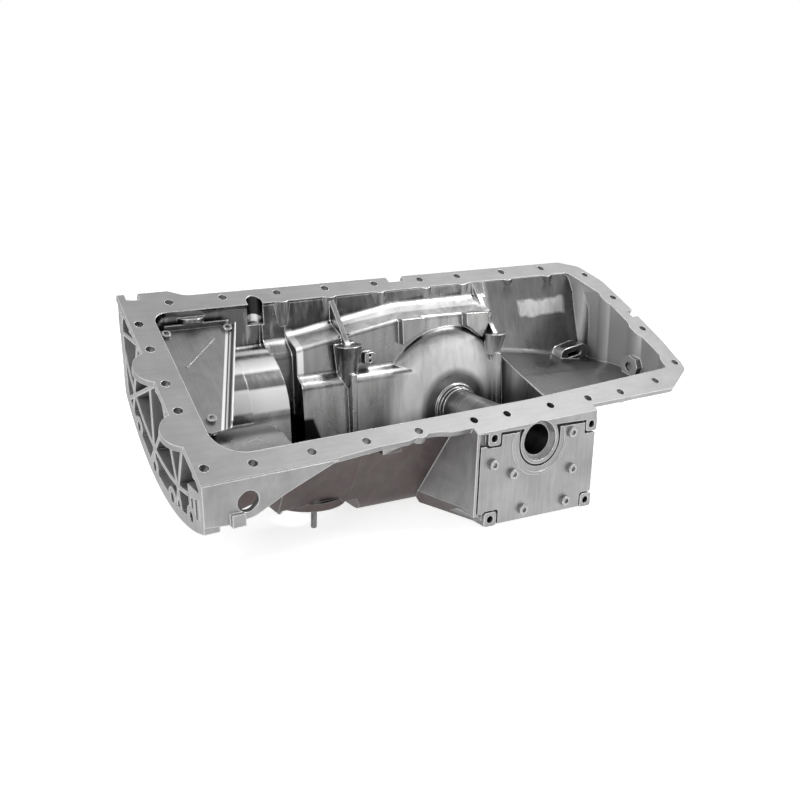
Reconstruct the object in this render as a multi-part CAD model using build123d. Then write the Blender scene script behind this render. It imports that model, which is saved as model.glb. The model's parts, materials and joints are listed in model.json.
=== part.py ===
import os
from math import atan2, cos, degrees, hypot, radians, sin, tan

from build123d import *

# Stance: the engine leans over its crank, and the crank rises to the front
lean = 30.0
pitch = 2.8

# Joint face and rail, across and along the crank from the near rear bolt hole
rail_thickness = 6.5
rail_rear = -9.0
rail_front = 598.0
rail_near = -14.0
rail_web = -18.0
rail_far = 229.5
rail_ear_far = 238.7
bolt_hole = 8.6
bolt_boss = 18.0
bolt_boss_depth = 8.5
near_bolts_across = -4.5
near_bolts = [41.7, 97.2, 152.6, 209.6, 274.3, 315.2, 372.4, 424.9, 472.6, 532.6]
far_bolts_across = 220.5
far_bolts = [38.2, 94.1, 154.7, 211.5, 273.9, 335.6, 388.7, 455.7, 519.1]
rear_bolts = [0.0, 70.1, 106.1, 154.3, 191.7]
front_bolts = [(578.1, 199.3), (587.7, 149.9), (586.5, 87.3), (584.6, 23.7)]
lobe_radius = 21.0
lobe_along = -2.0
lobes_across = [47.0, 130.0]

# Walls and levels of the cast trough
wall = 5.0
opening_near = 8.5
opening_far = 208.0
opening_rear = 16.0
opening_front = 573.0
near_draft = 0.015
shallow_level = -69.0
sump_level = -93.0
shallow_corner = 6.0
column_radius = 14.5
column_drop = 34.0
front_column_radius = 18.0
front_column_drop = 90.0
sump_corner = 40.0
floor_drop = 90.0
pocket_front = 156.0
ramp_rear = 171.5
ramp_front = 187.0
sump_front = 418.0
far_low = 133.0
far_panel = 150.0
pocket_far = 160.0
shelf_far = 176.0
panel_foot = 25.0
rear_crown = 14.5
rear_crown_across = 60.0
rear_crown_radius = 118.0

# Starter tunnel along the far rear corner
tunnel_across = 173.0
tunnel_height = -5.0
tunnel_radius = 60.0
tunnel_end = 130.0

# Axle passage, drive dome and cover pod, in the level frame
axle_along = 347.1
axle_height = -15.0
tube_radius = 21.0
tube_bore = 16.5
tube_inset = 6.0
passage_ring = 25.0
dome_radius = 92.0
dome_face = 150.0
dome_crown = 130.0
dome_wall = 6.0
hub_ring = 28.0
hub_face = 121.0
pod_left = 268.0
pod_right = 424.0
pod_face = -15.0
pod_floor_left = 288.0
pod_depth = 90.0
window_left = 300.0
window_right = 381.0
window_low = -79.0
window_high = -54.0

# Side cover, its gasket and screws
gasket_thickness = 1.0
cover_thickness = 4.0
cover_gap = 2.0
cover_low = -96.5
cover_wing_high = -1.0
cover_screw_places = [
    (287.6, -31.9),
    (313.4, -45.2),
    (328.9, -85.5),
    (386.1, -85.5),
    (392.2, -50.8),
    (388.7, -10.5),
]
screw_shank = 6.0
screw_hole = 6.6
screw_head = 11.0
screw_head_height = 4.5
screw_socket = 5.0
cover_screw_length = 16.0

# Ring of the front drive on the far side
drive_ring = 100.0
drive_face = 165.0
drive_foot = 60.0
drive_bolt_circle = 194.0
drive_bolt_angles = [22.0, 158.0, 202.0, 338.0]
drive_boss = 20.0
drive_bolt = 8.6
drive_bolt_depth = 12.0

# Pads, lug and bosses on the inner walls, pillars that carry the engine's oil parts
drive_pads = [
    [(281.0, 75.5), (311.0, 75.0), (312.5, 60.0), (282.0, 47.0)],
    [(368.0, 74.0), (399.0, 73.0), (400.0, 60.0), (391.0, 44.0), (369.0, 59.5)],
]
drive_pad_rise = 9.0
lug_place = (239.5, 37.0)
small_lug = 13.0
small_lug_hole = 3.2
shore_boss = (536.0, 6.5)
shore_boss_length = 44.0
shore_boss_width = 19.0
shore_slot_width = 6.0
wall_boss = (74.0, -1.0)
wall_boss_width = 26.0
wall_boss_hole = 11.0
rear_boss = (56.0, 182.0)
rear_boss_radius = 14.0
rear_boss_top = 95.0
rear_boss_height = 4.5
dipstick_along = 124.5
dipstick_radius = 8.5
dipstick_depth = 24.0
pillar_rib = 6.0
pillar_places = [(212.5, 137.0, 55.0, 9.0, 15.0), (406.0, 132.0, 48.0, 22.0, 13.0)]

# Four threaded lugs that carry the axle bearing
lug_left = 288.7
lug_right = 417.3
lug_low = -90.55
lug_high = -5.45
lug_size = 15.0
lug_thread = 8.0
lug_depth = 18.0

# Gearbox flange round the crank
crank_across = 43.5
crank_height = 140.6
flange_radius = 202.0
flange_band = 11.0
flange_thickness = 14.0
flange_near = -17.0
flange_far = 205.0
flange_bolt = 10.5
flange_bolt_inset = 12.0
flange_bolt_angles = [-98.0, -82.0, -66.0, -50.0]
rear_gussets = [22.0, 76.0]
rib_thickness = 4.0
rib_count = 11
corner_block = 37.0
corner_block_top = -18.0
corner_slot = 6.0
corner_slots = [-10.0, 1.0, 12.0]
corner_slot_height = 22.0

# Web between the flange and the near side of the rail
web_thickness = 5.0
web_front = 118.0
web_hole_along = 31.5
web_hole_height = -29.5
web_hole = 17.5
nub_along = 177.0
nub_length = 20.0

# Level sensor pad and its studs, in the level frame
sensor_along = 135.5
sensor_across = 84.0
sensor_hole = 40.0
sensor_stud_circle = 59.0
sensor_stud_phase = 257.0
sensor_pad = 78.0
sensor_pad_height = 3.0
stud_diameter = 6.0
stud_free_length = 20.0
stud_root = 10.0
stud_root_diameter = 5.0

# Drain in the sump floor, in the level frame
drain_along = 330.0
drain_across = 112.0
drain_boss = 36.0
drain_boss_height = 17.0
drain_thread = 12.0
drain_recess = 26.0
drain_recess_depth = 8.0
drain_head = 17.0
drain_head_height = 6.0
washer_diameter = 19.0
washer_thickness = 1.5
drain_plug_length = 15.0

# Oil baffle beside the rear opening, across the rail plane
baffle_thickness = 1.5
baffle_depth = 16.0
baffle_screw = 6.0
baffle_screw_head = 10.0
baffle_screw_head_height = 3.5
baffle_screw_length = 12.0
baffle_screw_places = [(26.0, 187.0), (89.0, 187.0), (31.0, 66.0)]
baffle_post = 12.0
baffle_return = 6.0
baffle_lip = 7.0
baffle_foot = (46.0, 53.0)
baffle_shoulder = (101.0, 195.0)
baffle_bead_start = (31.0, 140.0)
baffle_bead_end = (70.0, 176.0)
baffle_bead_width = 4.0

high = 40.0
deep = 400.0
trim_middle = (300.0, 100.0)
trim_size = (1200.0, 900.0)

lean_cos = cos(radians(lean))
lean_sin = sin(radians(lean))
pitch_cos = cos(radians(pitch))
pitch_sin = sin(radians(pitch))
rail_frame = Plane(origin=(0, 0, 0), x_dir=(1, 0, 0), z_dir=(0, -lean_sin, lean_cos))
stance = Rot(0, -pitch, 0)
pad_face = pod_face - gasket_thickness - cover_thickness


# A point across the rail and above its face, as side and height
def rail_point(across, above):
    return across * lean_cos - above * lean_sin, across * lean_sin + above * lean_cos


# Height, before the crank is pitched, of a level plane
def level(height, along):
    return (height - along * pitch_sin) / pitch_cos


# Upright plane across the crank
def across_plane(along):
    return Plane(origin=(along, 0, 0), x_dir=(0, 1, 0), z_dir=(1, 0, 0))


# Upright plane seen from the near side, with its normal to the viewer
def side_plane(across):
    return Plane(origin=(0, across, 0), x_dir=(1, 0, 0), z_dir=(0, -1, 0))


# Closed face from corners (x, y, radius); radii give way where two meet
def rounded_face(corners):
    count = len(corners)
    points = [Vector(x, y) for x, y, radius in corners]
    sides = [points[(i + 1) % count] - points[i] for i in range(count)]
    halves = [radians((-sides[i - 1]).get_angle(sides[i])) / 2 for i in range(count)]
    reaches = [corners[i][2] / tan(halves[i]) for i in range(count)]
    shares = [1.0] * count
    for i in range(count):
        after = (i + 1) % count
        wanted = reaches[i] + reaches[after]
        room = 0.98 * sides[i].length
        if wanted > room:
            shares[i] = min(shares[i], room / wanted)
            shares[after] = min(shares[after], room / wanted)
    starts = []
    ends = []
    edges = []
    for i in range(count):
        reach = reaches[i] * shares[i]
        back = -sides[i - 1].normalized()
        ahead = sides[i].normalized()
        starts.append(points[i] + back * reach)
        ends.append(points[i] + ahead * reach)
        if corners[i][2] > 0:
            radius = corners[i][2] * shares[i]
            middle = points[i] + (back + ahead).normalized() * (radius / sin(halves[i]) - radius)
            edges.append(ThreePointArc(starts[i], middle, ends[i]))
    for i in range(count):
        edges.append(Line(ends[i], starts[(i + 1) % count]))
    return make_face(edges)


# Inner face of the near wall at a height, skin further out
def near_wall(height, skin):
    depth = ((opening_near - skin) * lean_sin - height) / (lean_cos - near_draft * lean_sin)
    return rail_point(opening_near - skin + near_draft * depth, -depth)


def trough(near_height, near_corner, rest, skin):
    start = rail_point(opening_near - skin, high)
    foot = near_wall(near_height - skin, skin)
    top = rail_point(opening_far + skin, high)
    corners = [(start[0], start[1], 0), (foot[0], foot[1], near_corner + skin)]
    for across, height, radius in rest:
        corners.append((across, height, radius))
    corners.append((top[0], top[1], 0))
    return rounded_face(corners)


def far_edge(skin):
    across, height = rail_point(opening_far + skin, 0)
    return (across, height, 0)


def rear_section(skin):
    side = tunnel_across - tunnel_radius + skin
    top = tunnel_height + tunnel_radius - skin
    far, far_height, none = far_edge(skin)
    rest = [
        (rear_crown_across, rear_crown - skin, rear_crown_radius - skin),
        (side, -6.5 - skin, 2.0),
        (side, top, tunnel_radius - skin),
        (far + 4, top, 5.0 + skin),
        (far, far_height, 0),
    ]
    return trough(-4.0, 3.0, rest, skin)


def tunnel_section(skin):
    side = tunnel_across - tunnel_radius + skin
    top = tunnel_height + tunnel_radius - skin
    far, far_height, none = far_edge(skin)
    floor = level(shallow_level - skin, floor_drop)
    rest = [
        (side, floor, 12.0),
        (side, top, tunnel_radius - skin),
        (far + 4, top, 5.0 + skin),
        (far, far_height, 0),
    ]
    return trough(level(shallow_level, floor_drop), shallow_corner, rest, skin)


def pocket_section(skin):
    far, far_height, none = far_edge(skin)
    floor = level(shallow_level - skin, floor_drop)
    rest = [
        (pocket_far + skin, floor, 12.0 + skin),
        (pocket_far + skin, 48.0, 10.0),
        (shelf_far + skin, 62.0, 10.0),
        (far, far_height, 0),
    ]
    return trough(level(shallow_level, floor_drop), shallow_corner, rest, skin)


def sump_section(along, ridge, shelf, skin):
    far, far_height, none = far_edge(skin)
    floor = level(sump_level - skin, along)
    rest = [
        (far_low + skin, floor, 22.0 + skin),
        (far_low + 5 + skin, panel_foot - 7 - skin, 12.0 + skin),
        (far_panel + skin, panel_foot - skin, 6.0),
        (far_panel + skin, ridge - skin, 6.0 + skin),
        (shelf_far + skin, shelf - skin, 10.0),
        (far, far_height, 0),
    ]
    return trough(level(sump_level, along), sump_corner, rest, skin)


def front_section(middle, shore, shore_height, skin):
    far, far_height, none = far_edge(skin)
    rest = [
        (56.0, -15.0 - skin, 40.0),
        (100.0, middle - skin, 60.0),
        (shore + skin, shore_height - skin, 10.0 + skin),
        (far, far_height, 0),
    ]
    return trough(-13.0, 4.0, rest, skin)


def between(first, second, first_face, second_face):
    return loft([across_plane(first) * first_face, across_plane(second) * second_face], ruled=True)


# What the sloped rear face of the deep sump leaves out
def ramp(skin):
    shallow = level(shallow_level - skin, ramp_rear)
    floor = level(sump_level - skin, ramp_front)
    corners = [
        (pocket_front - 30, shallow),
        (ramp_rear, shallow),
        (ramp_front, floor),
        (ramp_front, floor - high),
        (pocket_front - 30, floor - high),
    ]
    return extrude(side_plane(deep / 2) * make_face(Polyline(*corners, close=True)), deep)


# The trough's room at skin 0, or its outer body at skin wall
def trough_body(skin):
    rear = extrude(across_plane(opening_rear - skin) * rear_section(skin), floor_drop - opening_rear + skin)
    tunnel_length = tunnel_end - floor_drop + 2 * skin
    tunnel = extrude(across_plane(floor_drop - skin) * tunnel_section(skin), tunnel_length)
    pocket_length = pocket_front - tunnel_end + 2 * skin
    pocket = extrude(across_plane(tunnel_end - skin) * pocket_section(skin), pocket_length)
    middle = (pocket_front + sump_front) / 2
    rise = sump_section(pocket_front - skin, 55.0, 66.0, skin)
    peak = sump_section(middle, 75.0, 86.0, skin)
    fall = sump_section(sump_front + skin, 71.0, 87.0, skin)
    sump = between(pocket_front - skin, middle, rise, peak) + between(middle, sump_front + skin, peak, fall)
    sump -= ramp(skin)
    near_front = front_section(2.0, 150.0, 24.0, skin)
    far_front = front_section(-6.0, 160.0, -6.0, skin)
    front = between(sump_front - 8, opening_front + skin, near_front, far_front)
    return [rear, tunnel, pocket, sump, front]


def opening_face(skin):
    corners = [
        (opening_rear - skin, opening_near - skin, 32.0 + skin),
        (342.0, opening_near - skin, 60.0),
        (544.0, 17.0 - skin, 60.0),
        (opening_front + skin, 18.5 - skin, 14.0 + skin),
        (opening_front + skin, 160.0, 20.0),
        (554.0 + skin, opening_far - 1 + skin, 10.0 + skin),
        (opening_rear - skin, opening_far - 3 + skin, 14.0 + skin),
    ]
    return rounded_face(corners)


def rail_face():
    corners = [
        (rail_rear, rail_web, 0),
        (web_front - 10, rail_web, 0),
        (web_front + 42, rail_near, 20.0),
        (548.0, rail_near, 12.0),
        (rail_front - 7, 11.0, 12.0),
        (rail_front - 1, 60.0, 0),
        (rail_front, 127.0, 0),
        (rail_front - 3, 184.0, 30.0),
        (580.0, 217.0, 14.0),
        (553.0, rail_far, 10.0),
        (57.0, rail_far, 14.0),
        (42.0, rail_ear_far, 10.0),
        (rail_rear, rail_ear_far, 0),
    ]
    face = rounded_face(corners)
    for across in lobes_across:
        face += Pos(lobe_along, across) * Circle(lobe_radius)
    face -= Pos(5.0, rail_ear_far - 4) * Rectangle(13.0, 12.0)
    face -= Pos(304.5, rail_far) * Rectangle(21.0, 18.0)
    face -= Pos(rail_front - 2, 116.0) * Rectangle(16.0, 12.0)
    scallop = Pos(219.0, rail_near - 66.0) * Circle(70.0)
    return face - scallop


def bolt_places():
    places = [(0.0, across) for across in rear_bolts]
    places += [(along, near_bolts_across) for along in near_bolts[:-1]]
    places.append((near_bolts[-1], near_bolts_across + 6.4))
    places += [(along, far_bolts_across) for along in far_bolts]
    return places + front_bolts


def on_rail(places, radius, start, height):
    return [
        rail_frame * Pos(along, across, start) * extrude(Circle(radius), height) for along, across in places
    ]


def trim_block(height):
    upward = (Align.CENTER, Align.CENTER, Align.MIN)
    return Pos(*trim_middle, 0) * Box(*trim_size, height, align=upward)


def above_rail(height=deep):
    return rail_frame * trim_block(height)


def flange_bolt_place(angle):
    return Pos(crank_across, crank_height) * Rot(0, 0, angle) * Pos(flange_radius - flange_bolt_inset, 0)


# Crescent between the rail and the gearbox, ribbed round the crank
def gearbox_flange():
    reach = flange_radius + 30
    low = crank_height - reach
    disc = Pos(crank_across, crank_height) * Circle(flange_radius)
    near = rail_point(flange_near / lean_cos, -rail_thickness / 2)
    far = rail_point(flange_far / lean_cos, -rail_thickness / 2)
    crescent = disc & make_face(Polyline((near[0], low), (flange_far, low), far, near, close=True))
    inner = Pos(crank_across, crank_height) * Circle(flange_radius - flange_band)
    band = crescent - inner
    second = Pos(crank_across, crank_height) * Circle(flange_radius - 30)
    second -= Pos(crank_across, crank_height) * Circle(flange_radius - 30 - rib_thickness)
    ribs = crescent & second
    for i in range(rib_count):
        angle = -128 + i * 11.5
        spoke = Pos(crank_across, crank_height) * Rot(0, 0, angle) * Pos(flange_radius / 2 + 40, 0)
        slant = spoke * Rot(0, 0, 28 if i % 2 else -28) * Rectangle(flange_radius, rib_thickness)
        ribs += crescent & slant
    near_post = crescent & Pos(flange_near + 4, -30) * Rectangle(8, 90)
    far_post = crescent & Pos(flange_far - 5, 60) * Rectangle(10, 140)
    solid = extrude(across_plane(rail_rear) * (band + near_post + far_post), flange_thickness)
    solid += extrude(across_plane(rail_rear) * ribs, opening_rear - wall - rail_rear + 1)
    foot = crank_height - flange_radius
    block_height = corner_block_top - foot
    block_middle = flange_near + corner_block / 2
    block = Pos(block_middle, foot + block_height / 2) * Rectangle(corner_block, block_height)
    block_back = crescent & block
    for across in corner_slots:
        block -= Pos(across, corner_block_top - 5 - corner_slot_height / 2) * SlotOverall(
            corner_slot_height, corner_slot, rotation=90
        )
    solid += extrude(across_plane(rail_rear) * (crescent & block), flange_thickness)
    solid += extrude(across_plane(rail_rear + flange_thickness - 3) * block_back, 3)
    for angle in flange_bolt_angles:
        pad = crescent & flange_bolt_place(angle) * Circle(flange_bolt)
        solid += extrude(across_plane(rail_rear) * pad, flange_thickness + 6)
    return solid


# Upright ribs between the gearbox flange and the shallow part
def gussets():
    start = rail_rear + flange_thickness - 3
    solids = []
    for across in rear_gussets:
        foot = crank_height - flange_radius + flange_band / 2
        shallow = level(shallow_level, floor_drop)
        outline = Polyline((start, foot), (floor_drop, shallow), (floor_drop, 0), (start, 0), close=True)
        solids.append(extrude(side_plane(across + rib_thickness / 2) * make_face(outline), rib_thickness))
    return solids


def flange_bolt_holes():
    holes = []
    for angle in flange_bolt_angles:
        hole = flange_bolt_place(angle) * Circle(flange_bolt / 2)
        holes.append(extrude(across_plane(rail_rear - 1) * hole, flange_thickness + 12))
    return holes


def near_web():
    top = rail_point(rail_web, -1.0)[1]
    corners = [
        (rail_rear, top, 0),
        (rail_rear, -46.0, 0),
        (12.0, -48.0, 12.0),
        (36.0, -45.0, 14.0),
        (67.0, -30.0, 40.0),
        (web_front, top, 0),
    ]
    web = extrude(side_plane(flange_near) * rounded_face(corners), -web_thickness)
    web += side_plane(flange_near) * Pos(20.0, -44.0) * Box(12, 11, 2 * web_thickness)
    hole = Pos(web_hole_along, web_hole_height)
    web += side_plane(flange_near) * hole * extrude(Circle(web_hole / 2 + 3), -7)
    web -= side_plane(flange_near + 10) * hole * extrude(Circle(web_hole / 2), 30)
    rib = Box(rib_thickness, 26, 24)
    web += Pos(50.0, flange_near + 13, -18) * rib
    near, height = rail_point(rail_near, -rail_thickness)
    web += Pos(nub_along, near + 4, height) * Box(nub_length, 8, 9)
    return web


def pod():
    right = pod_right - 4
    corners_high = [(pod_left, pod_face), (pod_right, pod_face), (pod_right, 70), (250.0, 70)]
    corners_low = [(pod_floor_left, pod_face), (right, pod_face), (right, 70), (262.0, 70)]
    body_high = Polyline(*corners_high, close=True)
    body_low = Polyline(*corners_low, close=True)
    step = -80.0
    floor = sump_level - wall
    upper = extrude(Pos(0, 0, step) * make_face(body_high), 120)
    foot = Pos(0, 0, floor) * make_face(body_low)
    lower = loft([foot, Pos(0, 0, step) * make_face(body_high)], ruled=True)
    return upper + lower


def level_side(across, along, height):
    return side_plane(across) * Pos(along, height)


def lug_places():
    return [(along, height) for along in (lug_left, lug_right) for height in (lug_low, lug_high)]


def pod_front():
    front = pad_face
    parts = []
    for along, height in lug_places():
        lug = Pos(along, (front + 20) / 2, height) * Box(lug_size, 20 - front, lug_size)
        parts.append(fillet(lug.edges().filter_by(Axis.Y), 3.0))
    ring = level_side(20, axle_along, axle_height) * extrude(Circle(passage_ring), 20 - front)
    border = Pos(pod_left + 1, (front + 10) / 2, -40) * Box(3, 10 - front, 90)
    top = Pos((pod_left + pod_right) / 2, (front + 10) / 2, 6) * Box(pod_right - pod_left, 10 - front, 12)
    return parts + [ring, border, top]


def cover_outline(gap):
    left = pod_left + 2.5 + gap
    right = pod_right - 1
    high_edge = cover_wing_high - gap
    corners = [
        (left, cover_low, 3.0),
        (right, cover_low, 3.0),
        (right, high_edge, 4.0),
        (left, high_edge, 4.0),
    ]
    face = rounded_face(corners)
    for along, height in lug_places():
        face -= Pos(along, height) * RectangleRounded(lug_size + 2 * gap, lug_size + 2 * gap, 3.0)
        side = 1 if along == lug_right else -1
        lift = 1 if height == lug_high else -1
        face -= Pos(along + side * 12, height + lift * 2) * Rectangle(24, lug_size + 2 * gap)
        face -= Pos(along + side * 2, height + lift * 12) * Rectangle(lug_size + 2 * gap, 24)
    slot = Pos(axle_along, axle_height) * Circle(passage_ring + gap)
    slot += Pos(axle_along, axle_height + 30) * Rectangle(2 * (passage_ring + gap), 60)
    return face - slot


def side_cover():
    outline = cover_outline(cover_gap)
    plate = extrude(side_plane(pod_face - gasket_thickness) * outline, cover_thickness)
    ring = Pos(axle_along, axle_height) * (Circle(36) - Circle(33))
    step = extrude(side_plane(pad_face) * (outline & ring), 0.8)
    for along, height in cover_screw_places:
        plate -= level_side(pod_face + 5, along, height) * extrude(Circle(screw_hole / 2), 20)
    return plate + step


def side_gasket():
    outline = cover_outline(cover_gap + 1.0)
    inside = Pos((window_left + window_right) / 2, (window_low + window_high) / 2)
    outline -= inside * RectangleRounded(window_right - window_left, window_high - window_low, 5.0)
    sheet = extrude(side_plane(pod_face) * outline, gasket_thickness)
    for along, height in cover_screw_places:
        sheet -= level_side(pod_face + 5, along, height) * extrude(Circle(screw_hole / 2), 20)
    return sheet


# Low round head with a six-sided socket, its seat at z = 0 and its shank below
def socket_screw(shank, length, head, head_height, socket):
    body = extrude(Circle(head / 2), head_height)
    body = chamfer(body.edges().group_by(Axis.Z)[-1], 0.6)
    body -= Pos(0, 0, head_height - 2.2) * extrude(RegularPolygon(socket / 2, 6, major_radius=False), 5)
    body += Pos(0, 0, -length) * extrude(Circle(shank / 2), length)
    return body


def side_cover_screws():
    screw = socket_screw(screw_shank, cover_screw_length, screw_head, screw_head_height, screw_socket)
    return [level_side(pad_face, along, height) * screw for along, height in cover_screw_places]


def axle_tube():
    start = pad_face + tube_inset
    end = dome_crown + 6
    ring = Circle(tube_radius) - Circle(tube_bore)
    return level_side(end, axle_along, axle_height) * extrude(ring, end - start)


# Dome that bulges in from the far wall, and the hub that takes the tube
def dome(skin):
    rise = dome_face - dome_crown
    profile = [
        (0, dome_crown + skin),
        (hub_ring, dome_crown + skin),
        (dome_radius * 0.62, dome_crown + rise * 0.28 + skin),
        (dome_radius * 0.88, dome_crown + rise * 0.62 + skin),
        (dome_radius - skin, dome_face + skin),
    ]
    curve = Spline(*profile[1:], tangents=[(1, 0.1), (0.5, 1)])
    edges = [
        curve,
        Line(profile[-1], (profile[-1][0], dome_face + 60)),
        Line((profile[-1][0], dome_face + 60), (0, dome_face + 60)),
        Line((0, dome_face + 60), profile[0]),
        Line(profile[0], profile[1]),
    ]
    turned = revolve(make_face(edges), Axis((0, 0, 0), (0, 1, 0)), 360)
    return Pos(axle_along, 0, axle_height) * turned


def stud_places():
    places = []
    for i in range(3):
        angle = radians(sensor_stud_phase + 120 * i)
        radius = sensor_stud_circle / 2
        places.append((sensor_along + radius * cos(angle), sensor_across + radius * sin(angle)))
    return places


def sensor_studs():
    base = shallow_level - wall - sensor_pad_height
    studs = []
    for along, across in stud_places():
        stud = Pos(along, across, base) * extrude(Circle(stud_diameter / 2), -stud_free_length)
        stud = chamfer(stud.edges().group_by(Axis.Z)[0], 0.7)
        studs.append(stud + Pos(along, across, base) * extrude(Circle(stud_root_diameter / 2), stud_root))
    return studs


def drain_floor():
    return sump_level - wall + drain_recess_depth


def drain_plug():
    seat = drain_floor() - washer_thickness
    head = RegularPolygon(drain_head / 2, 6, major_radius=False)
    plug = Pos(0, 0, -drain_head_height) * extrude(head, drain_head_height)
    plug += extrude(Circle(drain_thread / 2), drain_plug_length)
    return Pos(drain_along, drain_across, seat) * plug


def drain_washer():
    seat = drain_floor() - washer_thickness
    ring = Circle(washer_diameter / 2) - Circle(drain_thread / 2 + 0.3)
    return Pos(drain_along, drain_across, seat) * extrude(ring, washer_thickness)


def baffle_outline():
    corners = [
        (24.0, 50.0, 3.0),
        (*baffle_foot, 3.0),
        (*baffle_shoulder, 4.0),
        (19.0, baffle_shoulder[1], 4.0),
        (19.0, 60.0, 3.0),
    ]
    return rounded_face(corners)


def baffle_plate():
    face = rail_frame * Pos(0, 0, -baffle_depth) * baffle_outline()
    plate = extrude(face, amount=baffle_thickness, dir=rail_frame.z_dir)
    top = rail_frame * Pos(0, 0, -baffle_depth + baffle_thickness)
    shoulder_along, shoulder_across = baffle_shoulder
    lip = top * Pos(shoulder_along - 42, shoulder_across - baffle_thickness / 2, baffle_lip / 2 - 1)
    plate += lip * Box(66.0, baffle_thickness, baffle_lip)
    run = shoulder_along - baffle_foot[0]
    rise = shoulder_across - baffle_foot[1]
    edge_length = hypot(run, rise)
    edge_angle = degrees(atan2(rise, run))
    edge = top * Pos(baffle_foot[0] + run / 2, baffle_foot[1] + rise / 2, -baffle_thickness)
    edge *= Rot(0, 0, edge_angle) * Pos(0, baffle_thickness / 2, baffle_return / 2)
    plate += edge * Box(edge_length - 8, baffle_thickness, baffle_return)
    bead_run, bead_rise = (b - a for a, b in zip(baffle_bead_start, baffle_bead_end))
    bead_angle = degrees(atan2(bead_rise, bead_run))
    bead_middle = [(a + b) / 2 for a, b in zip(baffle_bead_start, baffle_bead_end)]
    bead_length = hypot(bead_run, bead_rise)
    bead = top * Pos(*bead_middle) * Rot(0, 0, bead_angle)
    plate += bead * Box(bead_length, baffle_bead_width, 1.8)
    for hole in on_rail(baffle_screw_places, baffle_screw / 2 + 0.3, -baffle_depth - 5, 12):
        plate -= hole
    return plate


def baffle_screws():
    head = (baffle_screw_head, baffle_screw_head_height)
    screw = socket_screw(baffle_screw, baffle_screw_length, *head, screw_socket)
    seat = -baffle_depth + baffle_thickness
    return [rail_frame * Pos(along, across, seat) * screw for along, across in baffle_screw_places]


def pillars():
    solids = []
    for along, across, top, foot, radius in pillar_places:
        crown = Pos(along, across + 4, top) * Circle(radius)
        tip = Pos(along, across + 8, foot) * Circle(radius * 0.6)
        solids.append(loft([tip, crown]))
        floor = level(sump_level, along)
        rib_height = panel_foot - floor
        solids.append(Pos(along, far_low + 2, floor + rib_height / 2) * Box(pillar_rib, 14, rib_height))
        corner = rail_point(opening_far, 0)
        gusset = Polyline((across, top - 4), (corner[0], corner[1] - 2), (corner[0] + 3, top - 4), close=True)
        solids.append(extrude(across_plane(along - pillar_rib / 2) * make_face(gusset), pillar_rib))
    return solids


# Half-round columns under the far and front bolts
def wall_columns():
    solids = []
    for along in far_bolts[2:]:
        across, height = rail_point(far_bolts_across, 0)
        column = extrude(Circle(column_radius), column_drop + high)
        solids.append(Pos(along, across, height - column_drop) * column)
    for along, position in front_bolts:
        across, height = rail_point(position, 0)
        column = extrude(Circle(front_column_radius), front_column_drop + high)
        solids.append(Pos(along, across, height - front_column_drop) * column)
    return solids


# Pads above the dome, the small lug, and the bosses of the shallow ends
def wall_bosses():
    solids = []
    face = far_panel - drive_pad_rise
    for corners in drive_pads:
        outline = make_face(Polyline(*corners, close=True))
        solids.append(extrude(side_plane(far_panel + 4) * outline, drive_pad_rise + 4))
    lug = Pos(*lug_place) * RectangleRounded(small_lug, small_lug, 3.0)
    for lift in (-3.0, 3.0):
        lug -= Pos(lug_place[0], lug_place[1] + lift) * Circle(small_lug_hole / 2)
    solids.append(extrude(side_plane(face + 12) * lug, 12))
    slot = Pos(*shore_boss) * Rot(0, 0, 8) * SlotOverall(shore_boss_length, shore_boss_width)
    slot -= Pos(*shore_boss) * Rot(0, 0, 8) * SlotOverall(shore_boss_length / 2, shore_slot_width)
    solids.append(extrude(side_plane(pocket_far + 6) * slot, 26))
    eight = RegularPolygon(wall_boss_width / 2, 8, major_radius=False) - Circle(wall_boss_hole / 2)
    solids.append(extrude(across_plane(opening_front - 9) * Pos(*wall_boss) * eight, 12))
    disc = extrude(Circle(rear_boss_radius), rear_boss_height)
    solids.append(Pos(*rear_boss, rear_boss_top - rear_boss_height) * disc)
    return solids


def dipstick_channel(radius, extra):
    across, height = rail_point(opening_far, 0)
    start = height - dipstick_depth - extra
    return Pos(dipstick_along, across + 1, start) * extrude(Circle(radius), dipstick_depth + extra + high)


# Ring on the far side that the front drive bolts to
def drive_flange():
    ring = Circle(drive_ring) - Circle(dome_radius - dome_wall)
    ring &= Pos(0, drive_ring - drive_foot) * Rectangle(2 * drive_ring, 2 * drive_ring)
    solid = level_side(drive_face, axle_along, axle_height) * extrude(ring, drive_face - far_low)
    for along, height in drive_bolt_places():
        place = level_side(drive_face, along, height)
        solid += place * extrude(Circle(drive_boss / 2), drive_face - far_low - wall)
    return solid - dome(dome_wall)


def drive_bolt_places():
    places = []
    for angle in drive_bolt_angles:
        along = axle_along + drive_bolt_circle / 2 * cos(radians(angle))
        height = axle_height + drive_bolt_circle / 2 * sin(radians(angle))
        places.append((along, height))
    return places


def above_sump_bottom():
    return Pos(0, 0, sump_level - wall) * trim_block(deep)


# Prism below the opening in the rail, skin wider, from a depth under the face
def skirt(skin, start):
    return stance * extrude(rail_frame * Pos(0, 0, start) * opening_face(skin), deep, dir=-rail_frame.z_dir)


def trough_outside():
    blocks = trough_body(wall)
    body = blocks[0] + blocks[1:]
    body = stance * body & skirt(wall + 1, 0)
    return body + pod()


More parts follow.
